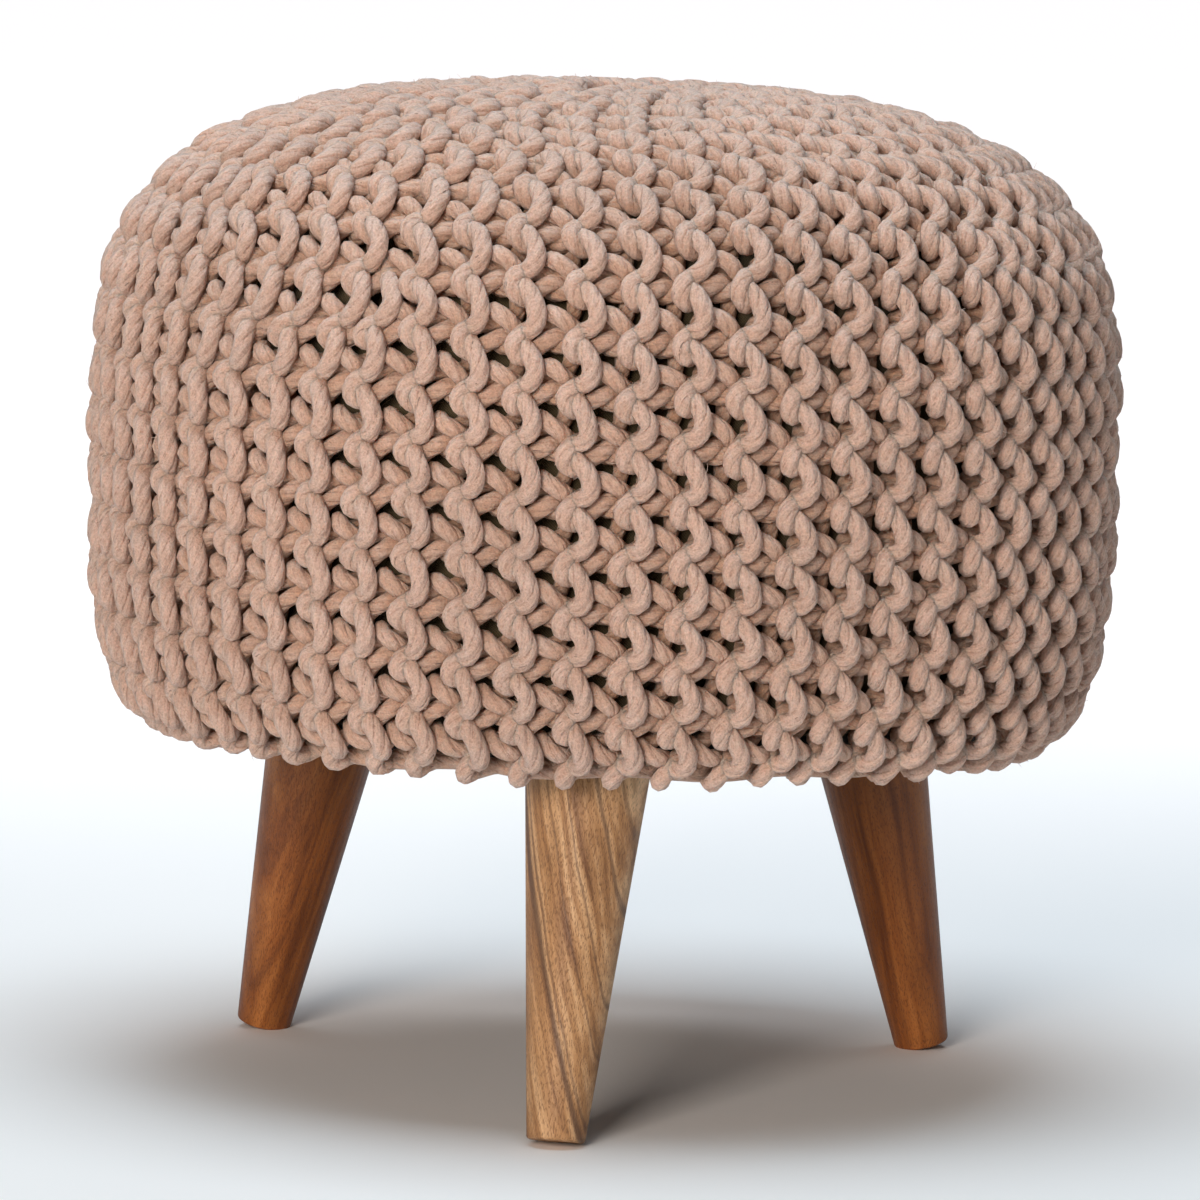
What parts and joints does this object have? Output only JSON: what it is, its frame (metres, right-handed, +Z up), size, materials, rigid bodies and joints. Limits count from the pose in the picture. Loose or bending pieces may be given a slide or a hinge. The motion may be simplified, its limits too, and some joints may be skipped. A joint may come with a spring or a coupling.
{
  "type": "round footstool",
  "caption": "Round padded footstool with a thick knitted cotton-cord cover and splayed tapered wooden legs; a low seat or foot rest.",
  "frame": {"origin": "on the floor under the middle of the seat", "axes": "+Z up along the seat's axis, -Y towards the front leg, +X to the right as seen from the front"},
  "size_m": [0.4116, 0.4116, 0.4015],
  "materials": {
    "knit_cord": "matt twisted cotton cord, knitted in garter stitch",
    "draw_cord": "matt twisted cotton cord",
    "casing": "matt plain-woven cotton",
    "board": "matt dust cloth over board",
    "light_wood": "satin oiled, open brown grain with dark streaks",
    "dark_wood": "satin oiled, warm red-brown"
  },
  "bodies": {
    "root": {"knit_cover": "knit_cord", "draw_cord": "draw_cord", "seat_pad": "casing", "base_board": "board", "leg_left": "dark_wood", "leg_front": "light_wood", "leg_right": "dark_wood"}
  },
  "joints": []
}
